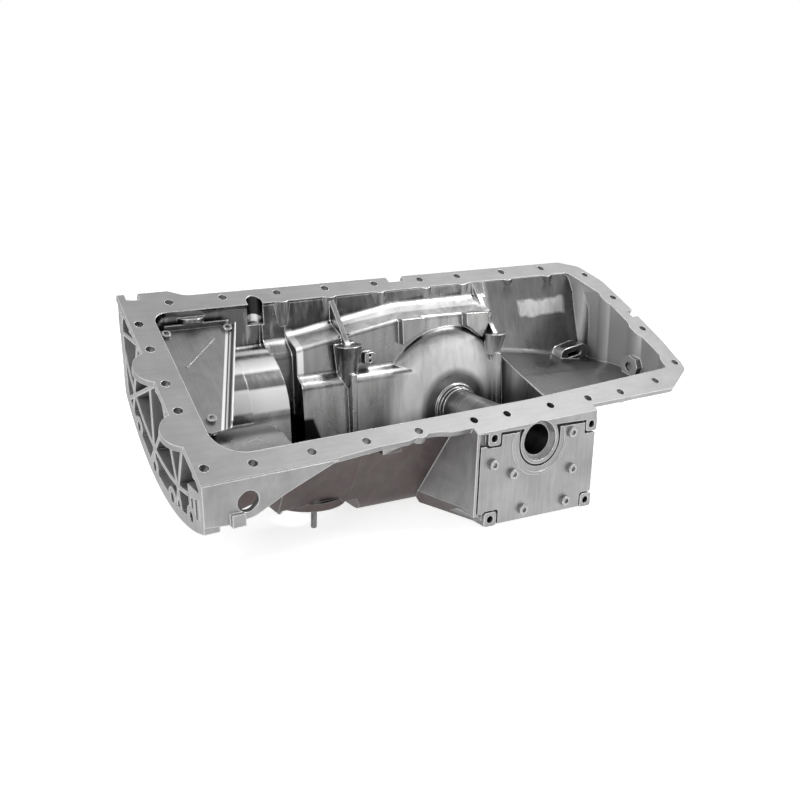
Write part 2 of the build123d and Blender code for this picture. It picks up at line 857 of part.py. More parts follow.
def trough_room():
    blocks = trough_body(0)
    room = stance * (blocks[0] + blocks[1:])
    room &= skirt(0, high)
    low = sump_level
    top = axle_height - passage_ring - wall
    left = pod_floor_left + wall
    right = pod_right - wall - 2
    pod_room = Pos((left + right) / 2, 0, (low + top) / 2) * Box(right - left, pod_depth, top - low)
    room += Pos(0, pod_depth / 2 + pod_face + wall, 0) * pod_room
    room += stance * dipstick_channel(dipstick_radius, 0)
    for post in pillars() + wall_columns() + wall_bosses():
        room -= stance * post
    for post in on_rail(baffle_screw_places, baffle_post / 2, -baffle_depth - 45, 45):
        room -= stance * post
    for along, height in cover_screw_places + lug_places():
        room -= level_side(pod_face + 16, along, height) * extrude(Circle(7.0), 16)
    room -= Pos(drain_along, drain_across, sump_level) * extrude(Circle(drain_boss / 2), drain_boss_height)
    passage = level_side(dome_crown, axle_along, axle_height)
    room -= passage * extrude(Circle(hub_ring), dome_crown - hub_face - 6)
    room -= passage * extrude(Circle(hub_ring - 4), dome_crown - hub_face)
    return room - dome(0)


def passage_cuts():
    length = dome_crown - pad_face + 20
    through = extrude(Circle(tube_bore), length + 60)
    seat = extrude(Circle(tube_radius), length + 6)
    return [
        level_side(dome_crown + 60, axle_along, axle_height) * through,
        level_side(dome_crown + 6, axle_along, axle_height) * seat,
    ]


def tapped_holes():
    holes = []
    lug_hole = extrude(Circle(lug_thread / 2), lug_depth + 5)
    for along, height in lug_places():
        holes.append(level_side(pad_face + lug_depth, along, height) * lug_hole)
    screw_hole_blank = extrude(Circle(screw_shank / 2), cover_screw_length + 5)
    for along, height in cover_screw_places:
        tip = pad_face + cover_screw_length + 0.5
        holes.append(level_side(tip, along, height) * screw_hole_blank)
    stud_hole = extrude(Circle(stud_root_diameter / 2), stud_root + 1)
    for along, across in stud_places():
        base = shallow_level - wall - sensor_pad_height
        holes.append(Pos(along, across, base - 1) * stud_hole)
    drive_hole = extrude(Circle(drive_bolt / 2), drive_bolt_depth)
    for along, height in drive_bolt_places():
        holes.append(level_side(drive_face, along, height) * drive_hole)
    depth = -baffle_depth + baffle_thickness - baffle_screw_length - 1
    for hole in on_rail(baffle_screw_places, baffle_screw / 2, depth, baffle_screw_length + 1):
        holes.append(stance * hole)
    return holes


def floor_cuts():
    pad_low = shallow_level - wall - sensor_pad_height
    sensor = Pos(sensor_along, sensor_across, pad_low - 1) * extrude(Circle(sensor_hole / 2), 30)
    recess = extrude(Circle(drain_recess / 2), drain_recess_depth + 1)
    recess = Pos(drain_along, drain_across, sump_level - wall - 1) * recess
    drain = Pos(drain_along, drain_across, drain_floor()) * extrude(Circle(drain_thread / 2), 30)
    inside = Pos((window_left + window_right) / 2, (window_low + window_high) / 2)
    outline = inside * RectangleRounded(window_right - window_left, window_high - window_low, 5.0)
    window = extrude(side_plane(pod_face + wall + 1) * outline, wall + 5)
    return [sensor, recess, drain, window]


def casting():
    pad_low = shallow_level - wall - sensor_pad_height
    body = trough_outside()
    pad = extrude(Circle(sensor_pad / 2), sensor_pad_height + wall)
    body += Pos(sensor_along, sensor_across, pad_low) * pad
    for along, across in stud_places():
        body += Pos(along, across, pad_low) * extrude(Circle(8.0), sensor_pad_height + wall + 4)
    bosses = on_rail(bolt_places(), bolt_boss / 2, -bolt_boss_depth, bolt_boss_depth)
    body += [stance * boss for boss in bosses]
    body += stance * dipstick_channel(dipstick_radius + wall, wall)
    body += stance * gearbox_flange()
    body += stance * near_web()
    body += [stance * gusset for gusset in gussets()]
    body += drive_flange()
    body += stance * extrude(rail_frame * rail_face(), rail_thickness, dir=-rail_frame.z_dir)
    body += pod_front()
    body -= stance * above_rail()
    body &= above_sump_bottom()
    body -= trough_room()
    body -= dome(dome_wall) & above_sump_bottom()
    for along, across in stud_places():
        body += Pos(along, across, shallow_level - 1) * extrude(Circle(8.0), 6.0)
    cuts = passage_cuts() + tapped_holes() + floor_cuts()
    cuts += [stance * hole for hole in on_rail(bolt_places(), bolt_hole / 2, -20, 30)]
    cuts += [stance * hole for hole in flange_bolt_holes()]
    web_cut = Pos(web_hole_along, web_hole_height) * extrude(Circle(web_hole / 2), web_thickness + 8)
    cuts.append(stance * side_plane(flange_near + web_thickness + 4) * web_cut)
    return body - cuts


def nodes():
    return {
        "pan_casting": casting(),
        "side_cover": side_cover(),
        "side_cover_gasket": side_gasket(),
        "side_cover_screws": Compound(side_cover_screws()),
        "axle_tube": axle_tube(),
        "sensor_studs": Compound(sensor_studs()),
        "drain_plug": drain_plug(),
        "drain_washer": drain_washer(),
        "baffle_plate": stance * baffle_plate(),
        "baffle_screws": stance * Compound(baffle_screws()),
    }


# Origin under the middle of the whole part, level with its lowest face
def main():
    os.makedirs("parts", exist_ok=True)
    pieces = nodes()
    box = Compound(list(pieces.values())).bounding_box()
    middle = box.center()
    home = Pos(-middle.X, -middle.Y, -box.min.Z)
    for name, shape in pieces.items():
        export_step(home * shape, "parts/" + name + ".step")


main()
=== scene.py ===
import bmesh
import bpy
import json
from math import cos, pi, radians, sin
from mathutils import Matrix, Vector
from mathutils.bvhtree import BVHTree


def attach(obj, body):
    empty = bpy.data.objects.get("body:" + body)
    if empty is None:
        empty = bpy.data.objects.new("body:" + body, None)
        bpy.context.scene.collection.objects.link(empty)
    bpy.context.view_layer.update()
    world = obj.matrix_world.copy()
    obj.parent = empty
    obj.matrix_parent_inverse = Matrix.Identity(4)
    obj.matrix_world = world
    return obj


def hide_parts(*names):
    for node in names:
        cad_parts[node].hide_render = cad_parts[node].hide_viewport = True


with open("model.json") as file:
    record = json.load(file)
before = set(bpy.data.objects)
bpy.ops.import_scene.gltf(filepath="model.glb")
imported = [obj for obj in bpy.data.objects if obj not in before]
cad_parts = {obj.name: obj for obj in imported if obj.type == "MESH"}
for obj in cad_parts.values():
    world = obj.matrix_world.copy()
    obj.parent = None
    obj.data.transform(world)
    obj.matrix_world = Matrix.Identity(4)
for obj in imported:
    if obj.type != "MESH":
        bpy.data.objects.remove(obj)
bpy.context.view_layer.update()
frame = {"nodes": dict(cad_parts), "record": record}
mm = 0.001
scene = bpy.context.scene
print("frame loaded")


# The lean of the joint face, as modelled: 30 degrees about the crank, which rises 2.8 degrees
stance = {"lean": radians(30.0), "pitch": radians(2.8), "firstHole": 69.45, "holeInset": 4.5}
levelFromEngine = Matrix.Rotation(-stance["pitch"], 3, "Y")
railAcross = levelFromEngine @ Vector((0, cos(stance["lean"]), sin(stance["lean"])))
railAlong = levelFromEngine @ Vector((1, 0, 0))
railUp = levelFromEngine @ Vector((0, -sin(stance["lean"]), cos(stance["lean"])))
mounts = {mount["name"]: mount for mount in frame["record"]["mounts"]}
nearRearHole = Vector(mounts["rail_bolts_1"]["pos_m"])
railOrigin = nearRearHole - railAlong * stance["firstHole"] * mm + railAcross * stance["holeInset"] * mm
railHeight = railUp.dot(railOrigin)


# Shader maths as plain expressions on sockets
class Wire:
    def __init__(self, tree, socket):
        self.tree = tree
        self.socket = socket

    def maths(self, operation, first, second=None):
        node = self.tree.nodes.new("ShaderNodeMath")
        node.operation = operation
        for place, value in enumerate((first, second)):
            if isinstance(value, Wire):
                self.tree.links.new(value.socket, node.inputs[place])
            elif value is not None:
                node.inputs[place].default_value = value
        return Wire(self.tree, node.outputs[0])

    def __add__(self, other):
        return self.maths("ADD", self, other)

    __radd__ = __add__

    def __mul__(self, other):
        return self.maths("MULTIPLY", self, other)

    __rmul__ = __mul__

    def __sub__(self, other):
        return self.maths("SUBTRACT", self, other)

    def __rsub__(self, other):
        return self.maths("SUBTRACT", other, self)

    def __truediv__(self, other):
        return self.maths("DIVIDE", self, other)

    def __pow__(self, other):
        return self.maths("POWER", self, other)

    def clipped(self):
        return self.maths("MAXIMUM", self.maths("MINIMUM", self, 1.0), 0.0)

    def over(self, low, high):  # 0 below low, 1 above high
        return ((self - low) / (high - low)).clipped()


# One material being built: its tree, its coordinates and its noises
class Finish:
    def __init__(self, name):
        self.material = bpy.data.materials.new(name)
        self.material.use_nodes = True
        self.tree = self.material.node_tree
        self.tree.nodes.clear()
        self.place = self.make("ShaderNodeTexCoord").outputs["Object"]
        self.output = self.make("ShaderNodeOutputMaterial")
        self.surface = self.make("ShaderNodeBsdfPrincipled")
        self.tree.links.new(self.surface.outputs["BSDF"], self.output.inputs["Surface"])

    def make(self, kind, settings=None, **sockets):
        node = self.tree.nodes.new(kind)
        for key, value in (settings or {}).items():
            setattr(node, key, value)
        for key, value in sockets.items():
            self.feed(node.inputs[key.replace("_", " ")], value)
        return node

    def feed(self, socket, value):
        if isinstance(value, Wire):
            value = value.socket
        if isinstance(value, bpy.types.NodeSocket):
            self.tree.links.new(value, socket)
        else:
            socket.default_value = value

    def wire(self, socket):
        return Wire(self.tree, socket)

    def noise(self, scale, detail=4.0, rough=0.55, stretch=(1, 1, 1), turn=(0, 0, 0), bend=0.0):
        mapping = self.make("ShaderNodeMapping", Vector=self.place, Scale=stretch, Rotation=turn)
        texture = self.make(
            "ShaderNodeTexNoise", Vector=mapping.outputs[0], Scale=scale, Detail=detail, Roughness=rough,
            Distortion=bend)
        return self.wire(texture.outputs["Fac"])

    def blend(self, factor, first, second):
        node = self.make("ShaderNodeMix", {"data_type": "RGBA"})
        self.feed(node.inputs["Factor"], factor)
        self.feed(node.inputs[6], first)
        self.feed(node.inputs[7], second)
        return node.outputs[2]

    def axis(self, index):
        split = self.make("ShaderNodeSeparateXYZ", Vector=self.place)
        return self.wire(split.outputs[index])

    def rounded(self, radius):  # soft normal near edges, as on a casting
        return self.make("ShaderNodeBevel", {"samples": 6}, Radius=radius).outputs[0]

    def hollow(self, distance):  # 1 in the open, less in pockets
        node = self.make("ShaderNodeAmbientOcclusion", {"samples": 6}, Distance=distance)
        return self.wire(node.outputs["AO"])

    def along(self, way, start):  # distance from a start along a direction, in metres
        dot = self.make("ShaderNodeVectorMath", {"operation": "DOT_PRODUCT"})
        self.feed(dot.inputs[0], self.place)
        self.feed(dot.inputs[1], way)
        return self.wire(dot.outputs["Value"]) - start

    def fromRail(self):  # metres along the crank, across the rail and below its face
        along = self.along(railAlong, railAlong.dot(railOrigin))
        across = self.along(railAcross, railAcross.dot(railOrigin))
        return along, across, railHeight - self.along(railUp, 0.0)

    def facing(self, index):  # how far the surface faces along an axis
        normal = self.make("ShaderNodeNewGeometry").outputs["Normal"]
        split = self.make("ShaderNodeSeparateXYZ", Vector=normal)
        return self.wire(split.outputs[index])

    def edge(self, soft):  # 0 on open faces, more where the soft normal leaves the true one
        true = self.make("ShaderNodeNewGeometry").outputs["True Normal"]
        dot = self.make("ShaderNodeVectorMath", {"operation": "DOT_PRODUCT"})
        self.feed(dot.inputs[0], soft)
        self.feed(dot.inputs[1], true)
        return 1.0 - self.wire(dot.outputs["Value"])

    def relief(self, height, strength, distance, normal=None):
        node = self.make("ShaderNodeBump", Height=height, Strength=strength, Distance=distance)
        if normal is not None:
            self.feed(node.inputs["Normal"], normal)
        return node.outputs[0]

    def done(self, **sockets):
        for key, value in sockets.items():
            self.feed(self.surface.inputs[key.replace("_", " ")], value)
        return self.material


def grey(value, warm=0.0):
    return (value * (1 + warm), value, value * (1 - warm), 1.0)


# 1 between two borders, falling to 0 over a soft width outside them
def between(value, low, high, soft):
    return value.over(low - soft, low) * (1.0 - value.over(high, high + soft))


# Where a point of the inside lies: from the rail's corner, above the ground and by its slope
class Spot:
    def __init__(self, m):
        self.along, self.across, self.below = m.fromRail()
        self.up = m.facing(2)
        self.height = m.axis(2)
        self.front = self.along.over(*frontBay["start"])
        self.trough = 1.0 - self.front


# Tones of the painted light on the near wall and of the painted shade on the rear floor's crown
nearWallLight = {"reach": (38 * mm, 52 * mm), "tone": 0.9}
rearCrownShade = {"end": (135 * mm, 141 * mm), "far": (92 * mm, 96 * mm), "slope": (0.6, 0.8), "tone": 0.22}


# Near wall painted light, and painted shade on the crowned floor at the rear
def paintRearLightAndShade(m, at, colour):
    rear = 1.0 - at.along.over(*rearCrownShade["end"])
    crown = rear * at.up.over(*rearCrownShade["slope"]) * (1.0 - at.across.over(*rearCrownShade["far"]))
    near = (1.0 - at.across.over(*nearWallLight["reach"])) * (1.0 - crown)
    # Painted light on the near wall, then painted shade on the crown
    colour = m.blend(near, colour, grey(nearWallLight["tone"]))
    return m.blend(crown * 0.9, colour, grey(rearCrownShade["tone"]))


# Slopes and tones of the starter tunnel's painted highlight and shade bands
tunnel = {
    "end": (150 * mm, 152 * mm), "near": (90 * mm, 96 * mm), "far": (174 * mm, 180 * mm),
    "flank": (0.54, 0.74, 0.04), "flankShadeTone": 0.11,
    "foot": (0.17, 0.49, 0.05), "crest": (0.965, 0.985), "footCrestHighlightTone": 0.97,
    "shoulder": (0.78, 0.92, 0.03), "shoulderEnd": (128 * mm, 132 * mm), "shoulderHighlightTone": 0.8,
    "recessAlong": (136 * mm, 157 * mm, 2 * mm), "recessAcross": (124 * mm, 176 * mm, 3 * mm),
    "recessShadeTone": 0.10,
}


# Starter tunnel painted in bands of highlight and shade by its slope, and painted shade in the recess at its
# end
def paintTunnelLightAndShade(m, at, colour):
    whole = (1.0 - at.along.over(*tunnel["end"])) * at.across.over(*tunnel["near"])
    whole = whole * (1.0 - at.across.over(*tunnel["far"]))
    flank = whole * between(at.up, *tunnel["flank"])
    foot = whole * between(at.up, *tunnel["foot"])
    crest = whole * at.up.over(*tunnel["crest"])
    shoulder = whole * between(at.up, *tunnel["shoulder"])
    shoulder = shoulder * (1.0 - at.along.over(*tunnel["shoulderEnd"]))
    recess = between(at.along, *tunnel["recessAlong"]) * between(at.across, *tunnel["recessAcross"])
    # Painted highlight on the shoulder, painted shade on the flank, painted highlights on foot and crest,
    # painted shade in the recess
    colour = m.blend(shoulder * 0.8, colour, grey(tunnel["shoulderHighlightTone"]))
    colour = m.blend(flank * 0.9, colour, grey(tunnel["flankShadeTone"]))
    colour = m.blend((foot + crest).clipped(), colour, grey(tunnel["footCrestHighlightTone"]))
    colour = m.blend(recess * 0.85, colour, grey(tunnel["recessShadeTone"]))
    return colour, foot * 0.9 + shoulder * 0.35 + crest * 0.9


# Tones of the far wall's streaked painted shade, the painted highlights on ridge and strip, and the painted
# shade on the panels and in the deep sump
farWall = {
    "wall": (178 * mm, 188 * mm), "wallSlope": (0.28, 0.42), "wallFade": (200 * mm, 320 * mm),
    "streaks": (0.5, 0.68), "streakShadeTones": (0.055, 0.3),
    "ridge": (182 * mm, 198 * mm, 3 * mm), "ridgeSlope": (0.4, 0.55), "ridgeStart": (150 * mm, 156 * mm),
    "ridgeFade": (240 * mm, 300 * mm), "ridgeHighlightTone": 0.97,
    "panel": (135 * mm, 165 * mm, 3 * mm), "panelSlope": (0.1, 0.25), "panelStart": (163 * mm, 165 * mm),
    "panelFade": (300 * mm, 330 * mm), "panelShadeTone": 0.15,
    "strip": (157 * mm, 163 * mm, 1 * mm), "stripBelow": (28 * mm, 50 * mm, 3 * mm), "stripHighlightTone": 0.95,
    "deep": (60 * mm, 112 * mm), "deepShadeTone": 0.04,
}


# Painted shade with streaks on the upper far wall, a painted highlight on the ridge under it and on a strip,
# and painted shade on the far panels and in the deep sump
def paintFarWallLightAndShade(m, at, colour, streak):
    wall = at.across.over(*farWall["wall"]) * (1.0 - at.up.over(*farWall["wallSlope"])) * at.trough
    wall = wall * (1.0 - 0.55 * at.along.over(*farWall["wallFade"]))
    ridge = between(at.across, *farWall["ridge"]) * at.up.over(*farWall["ridgeSlope"])
    ridge = ridge * at.along.over(*farWall["ridgeStart"]) * at.trough
    ridge = ridge * (1.0 - 0.4 * at.along.over(*farWall["ridgeFade"]))
    panel = between(at.across, *farWall["panel"]) * (1.0 - at.up.over(*farWall["panelSlope"])) * at.trough
    panel = panel * at.along.over(*farWall["panelStart"]) * (1.0 - at.along.over(*farWall["panelFade"]))
    strip = between(at.along, *farWall["strip"]) * between(at.below, *farWall["stripBelow"])
    deep = at.below.over(*farWall["deep"]) * at.trough
    dark, light = farWall["streakShadeTones"]
    shadedStreaks = m.blend(streak.over(*farWall["streaks"]), grey(dark), grey(light))
    # Painted shade on the panels and the streaked upper wall, painted highlights on ridge and strip, painted
    # shade in the deep sump
    colour = m.blend(panel * 0.55, colour, grey(farWall["panelShadeTone"]))
    colour = m.blend(wall * 0.85, colour, shadedStreaks)
    colour = m.blend(ridge, colour, grey(farWall["ridgeHighlightTone"]))
    colour = m.blend(strip * 0.9, colour, grey(farWall["stripHighlightTone"]))
    return m.blend(deep * 0.75, colour, grey(farWall["deepShadeTone"]))


# Tones of the painted shade in the dipstick notch and of the painted highlight on its lip
notch = {"along": (115 * mm, 134 * mm, 1 * mm), "across": (202 * mm, 204 * mm), "tone": 0.03}
notch.update({"lip": (17 * mm, 23 * mm, 0.8 * mm), "lipHighlightTone": 0.9})


# Painted shade in the dipstick notch, with a painted highlight on the lip of its foot
def paintNotchShadeAndHighlight(m, at, colour):
    cut = between(at.along, *notch["along"]) * at.across.over(*notch["across"])
    colour = m.blend(cut * 0.9, colour, grey(notch["tone"]))
    return m.blend(cut * between(at.below, *notch["lip"]), colour, grey(notch["lipHighlightTone"]))


# Drive dome, with the tones of its painted highlight and of the painted shade on its rim and round its hub
dome = {
    "along": 347.1 * mm, "height": -15 * mm, "radius": 92 * mm, "soft": 3 * mm, "fade": 20 * mm,
    "start": (80 * mm, 90 * mm), "hub": 38 * mm, "hubSoft": 8 * mm, "hubFade": 10 * mm,
    "slope": (0.3, 0.42), "rimSlope": (0.32, 0.44), "lit": (66 * mm, 106 * mm), "lean": 0.35,
    "tone": 0.98, "rimShadeTone": 0.13, "hubShadeTone": 0.16,
}


# Drive dome: painted highlight on its face, painted shade on its rim and a ring of painted shade round the
# hub
def paintDomeLightAndShade(m, at, colour, streak):
    aside = m.axis(0) - dome["along"] - railOrigin.x
    lift = at.height - dome["height"] - railOrigin.z
    reach = (aside * aside + lift * lift) ** 0.5
    outer = dome["radius"] + dome["soft"]
    started = at.across.over(*dome["start"])
    whole = (1.0 - reach.over(dome["radius"], outer)) * started
    face = (1.0 - reach.over(dome["radius"] - dome["fade"], outer)) * started
    face = face * (1.0 - at.up.over(*dome["slope"])) * reach.over(dome["hub"], dome["hub"] + dome["hubFade"])
    face = face * (at.height - aside * dome["lean"]).over(*dome["lit"])
    face = face * (0.72 + 0.28 * streak.over(0.35, 0.6))
    rim = whole * at.up.over(*dome["rimSlope"])
    hub = whole * (1.0 - reach.over(dome["hub"], dome["hub"] + dome["hubSoft"]))
    # Painted highlight on the face, painted shade on the rim and round the hub
    colour = m.blend(face, colour, grey(dome["tone"]))
    colour = m.blend(rim * 0.9, colour, grey(dome["rimShadeTone"]))
    colour = m.blend(hub * 0.7, colour, grey(dome["hubShadeTone"]))
    return colour, face * 0.72


# Front bay, with the tones of its painted shade, its lighter painted floor and end, and its painted
# reflection patch
frontBay = {
    "start": (416 * mm, 424 * mm), "tone": 0.07, "floorSlope": (0.4, 0.6), "floorLitTone": 0.22,
    "endSlope": (0.5, 0.8), "endLitTone": 0.85,
    "patchAlong": (470 * mm, 540 * mm, 6 * mm), "patchHeight": (180 * mm, 196 * mm, 3.5 * mm),
    "patchEdges": (14 * mm, 26 * mm), "patchReflectionTone": 0.8,
}


# Front bay: walls painted dark grey as shade, the floor painted lighter where it faces up, a painted
# reflection as a bright patch under the rail and the end painted lighter where it faces the rear
def paintFrontLightAndShade(m, at, colour, streak, cloud):
    end = at.front * (0.0 - m.facing(0)).over(*frontBay["endSlope"])
    ground = at.front * at.up.over(*frontBay["floorSlope"])
    sideways, upward = frontBay["patchEdges"]
    patch = at.front * between(at.along + (streak - 0.5) * sideways, *frontBay["patchAlong"])
    patch = patch * between(at.height + (cloud - 0.5) * upward, *frontBay["patchHeight"])
    # Painted shade on the bay, a lighter painted floor and end, and a painted reflection patch
    colour = m.blend(at.front * 0.82, colour, grey(frontBay["tone"]))
    colour = m.blend(ground * 0.8, colour, grey(frontBay["floorLitTone"]))
    colour = m.blend(end * 0.88, colour, grey(frontBay["endLitTone"]))
    colour = m.blend(patch * (0.45 + 0.25 * streak.over(0.35, 0.6)), colour, grey(frontBay["patchReflectionTone"]))
    return colour, end * 0.5 + patch * 0.4


# Places and tone of the painted shade on the rib crests behind the pillars
pillarRibs = {"places": (212.5 * mm, 406 * mm), "rear": 6 * mm, "front": 7 * mm, "soft": 1 * mm}
pillarRibs.update({"slope": (0.5, 0.72, 0.04), "far": (150 * mm, 155 * mm), "tone": 0.06})


# Painted shade on the crests of the ribs behind the pillars
def paintRibShade(m, at, colour):
    for rib in pillarRibs["places"]:
        crest = between(at.along, rib - pillarRibs["rear"], rib + pillarRibs["front"], pillarRibs["soft"])
        crest = crest * between(at.up, *pillarRibs["slope"]) * at.across.over(*pillarRibs["far"])
        colour = m.blend(crest, colour, grey(pillarRibs["tone"]))
    return colour


shade = {
    "across": (88 * mm, 130 * mm, 3 * mm), "top": (86 * mm, 90 * mm), "lean": 0.35, "leanTop": 88 * mm,
    "start": (140 * mm, 145 * mm), "end": (165 * mm, 168 * mm),
    "underEnd": (152 * mm, 155 * mm), "underNear": (94 * mm, 97 * mm), "underTop": (97 * mm, 108 * mm),
    "tone": 0.008,
}


# Painted black shadow in the pocket beside the tunnel's end, and painted shade under the tunnel
def paintShade(m, at, colour):
    slant = at.along - (shade["leanTop"] - at.height) * shade["lean"]
    pocket = between(at.across, *shade["across"]) * (1.0 - at.height.over(*shade["top"]))
    pocket = pocket * (1.0 - slant.over(*shade["end"])) * at.along.over(*shade["start"])
    under = (1.0 - at.along.over(*shade["underEnd"])) * at.across.over(*shade["underNear"])
    under = under * (1.0 - at.height.over(*shade["underTop"]))
    return m.blend((pocket + under).clipped(), colour, grey(shade["tone"]))


# Tones of the inside: random mottle, painted shade in pockets and painted highlights on edges
inside = {
    "dark": 0.24, "light": 0.58, "rough": 0.22, "roughSpread": 0.18, "edgeRadius": 2.0 * mm, "edgeHighlightTone": 0.95,
    "pocketShadeReach": 25 * mm, "pocketShadeTone": 0.03,
}


# Blasted and half polished walls inside the trough, with streaks that run down them, and with highlights and
# shade painted into their colour
def castInsideWithPaintedLight():
    m = Finish("castInsideWithPaintedLight")
    streak = m.noise(95, 5, 0.6, (1, 1, 0.16), bend=0.4)
    cloud = m.noise(16, 4, 0.6, bend=0.8)
    grain = m.noise(900, 3, 0.6)
    soft = m.rounded(inside["edgeRadius"])
    edge = m.edge(soft).over(0.01, 0.12)
    at = Spot(m)
    mottle = (cloud * 0.5 + streak * 0.5).over(0.34, 0.66)
    colour = m.blend(mottle, grey(inside["dark"], 0.01), grey(inside["light"]))
    colour = paintRearLightAndShade(m, at, colour)
    colour, tunnelHighlight = paintTunnelLightAndShade(m, at, colour)
    colour = paintFarWallLightAndShade(m, at, colour, streak)
    colour = paintNotchShadeAndHighlight(m, at, colour)
    colour, domeHighlight = paintDomeLightAndShade(m, at, colour, streak)
    colour, frontHighlight = paintFrontLightAndShade(m, at, colour, streak, cloud)
    colour = paintRibShade(m, at, colour)
    # Painted shade in pockets, where the surface is closed in
    clear = m.hollow(inside["pocketShadeReach"]).over(0.05, 0.5)
    colour = m.blend(clear, grey(inside["pocketShadeTone"]), colour)
    # Painted highlight along edges
    colour = m.blend(edge * 0.85, colour, grey(inside["edgeHighlightTone"]))
    colour = paintShade(m, at, colour)
    # Where highlights are painted, the metal is made rougher and less metallic, so the painted highlight
    # shows from every side
    paintedHighlight = (tunnelHighlight + domeHighlight + frontHighlight).clipped()
    rough = inside["rough"] + inside["roughSpread"] * cloud.over(0.35, 0.7) - edge * 0.08 + paintedHighlight * 0.3
    relief = streak * 0.7 + cloud * 1.2 + grain * 0.12
    normal = m.relief(relief, 0.4, 0.9 * mm, soft)
    return m.done(Base_Color=colour, Metallic=1.0 - paintedHighlight, Roughness=rough, Normal=normal)


outside = {"rough": 0.48, "roughSpread": 0.14, "edgeRadius": 1.6 * mm}


# Raw cast skin of the outer walls, dull and slightly warm
def castOutside():
    m = Finish("castOutside")
    streak = m.noise(70, 5, 0.65, (1, 1, 0.22), bend=0.5)
    cloud = m.noise(22, 5, 0.62, bend=0.6)
    tint = m.noise(34, 3, 0.5, bend=1.2)
    grain = m.noise(1100, 3, 0.65)
    soft = m.rounded(outside["edgeRadius"])
    edge = m.edge(soft).over(0.01, 0.14)
    tone = (cloud * 0.5 + streak * 0.5).over(0.3, 0.7)
    colour = m.blend(tone, (0.102, 0.086, 0.086, 1), (0.21, 0.18, 0.177, 1))
    colour = m.blend(tint.over(0.5, 0.62) * 0.45, colour, (0.15, 0.10, 0.10, 1))
    colour = m.blend((1.0 - tint).over(0.56, 0.7) * 0.35, colour, (0.12, 0.115, 0.095, 1))
    # Painted highlight along edges
    colour = m.blend(edge * 0.7, colour, grey(0.6))
    rough = outside["rough"] + outside["roughSpread"] * tone - edge * 0.12
    normal = m.relief(streak * 0.5 + cloud * 0.6 + grain * 0.25, 0.4, 0.7 * mm, soft)
    return m.done(Base_Color=colour, Metallic=0.75, Roughness=rough, Normal=normal)


milled = {"dark": 0.28, "light": 0.34, "rough": 0.46, "edgeRadius": 1.0 * mm}


# Milled joint faces: even light grey with the cutter's faint lines
def milledFace():
    m = Finish("milledFace")
    lines = m.noise(260, 3, 0.6, (0.12, 1, 1), (0, 0, 0.5))
    cloud = m.noise(30, 4, 0.6)
    soft = m.rounded(milled["edgeRadius"])
    edge = m.edge(soft).over(0.01, 0.1)
    mottle = (cloud * 0.6 + lines * 0.4).over(0.35, 0.65)
    colour = m.blend(mottle, grey(milled["dark"]), grey(milled["light"]))
    # Painted highlight along edges
    colour = m.blend(edge, colour, grey(0.85))
    rough = milled["rough"] + 0.1 * cloud - edge * 0.1
    normal = m.relief(lines, 0.12, 0.2 * mm, soft)
    return m.done(Base_Color=colour, Metallic=0.95, Roughness=rough, Normal=normal)


skin = {"dark": 0.30, "light": 0.50, "rough": 0.42, "roughSpread": 0.16, "edgeRadius": 1.9 * mm}


# Blasted light skin of the web, the flange and the pod's front, with painted shade in pockets and painted
# highlights on edges
def castSkinWithPaintedLight():
    m = Finish("castSkinWithPaintedLight")
    streak = m.noise(80, 5, 0.65, (1, 1, 0.3), bend=0.6)
    cloud = m.noise(26, 5, 0.62, bend=0.7)
    grain = m.noise(1000, 3, 0.65)
    soft = m.rounded(skin["edgeRadius"])
    edge = m.edge(soft).over(0.01, 0.14)
    colour = m.blend((cloud * 0.6 + streak * 0.4).over(0.32, 0.68), grey(skin["dark"]), grey(skin["light"]))
    # Painted shade in pockets
    clear = m.hollow(18 * mm).over(0.05, 0.55)
    colour = m.blend(clear, grey(0.05), colour)
    # Painted highlight along edges
    colour = m.blend(edge * 0.85, colour, grey(0.95))
    rough = skin["rough"] + skin["roughSpread"] * cloud - edge * 0.12
    normal = m.relief(streak * 0.4 + cloud * 0.6 + grain * 0.2, 0.4, 0.7 * mm, soft)
    return m.done(Base_Color=colour, Metallic=0.7, Roughness=rough, Normal=normal)


cover = {"dark": 0.28, "light": 0.42, "rough": 0.38}


# The cover's face, brushed up and down
def coverMetal():
    m = Finish("coverMetal")
    brush = m.noise(520, 4, 0.6, (1, 1, 0.05))
    cloud = m.noise(24, 4, 0.6)
    soft = m.rounded(0.8 * mm)
    edge = m.edge(soft).over(0.01, 0.1)
    colour = m.blend((cloud * 0.5 + brush * 0.5).over(0.34, 0.66), grey(cover["dark"]), grey(cover["light"]))
    # Painted highlight along edges
    colour = m.blend(edge, colour, grey(0.8))
    rough = cover["rough"] + 0.14 * brush - edge * 0.1
    normal = m.relief(brush + cloud * 0.6, 0.15, 0.3 * mm, soft)
    return m.done(Base_Color=colour, Metallic=0.95, Roughness=rough, Normal=normal)


# Zinc-plated screws and studs
def screwMetal():
    m = Finish("screwMetal")
    cloud = m.noise(300, 4, 0.6)
    soft = m.rounded(0.35 * mm)
    edge = m.edge(soft).over(0.01, 0.1)
    colour = m.blend(cloud.over(0.35, 0.65), grey(0.30, -0.01), grey(0.48))
    # Painted highlight along edges
    colour = m.blend(edge * 0.6, colour, grey(0.8))
    rough = 0.22 + 0.16 * cloud
    normal = m.relief(cloud, 0.1, 0.1 * mm, soft)
    return m.done(Base_Color=colour, Metallic=1.0, Roughness=rough, Normal=normal)


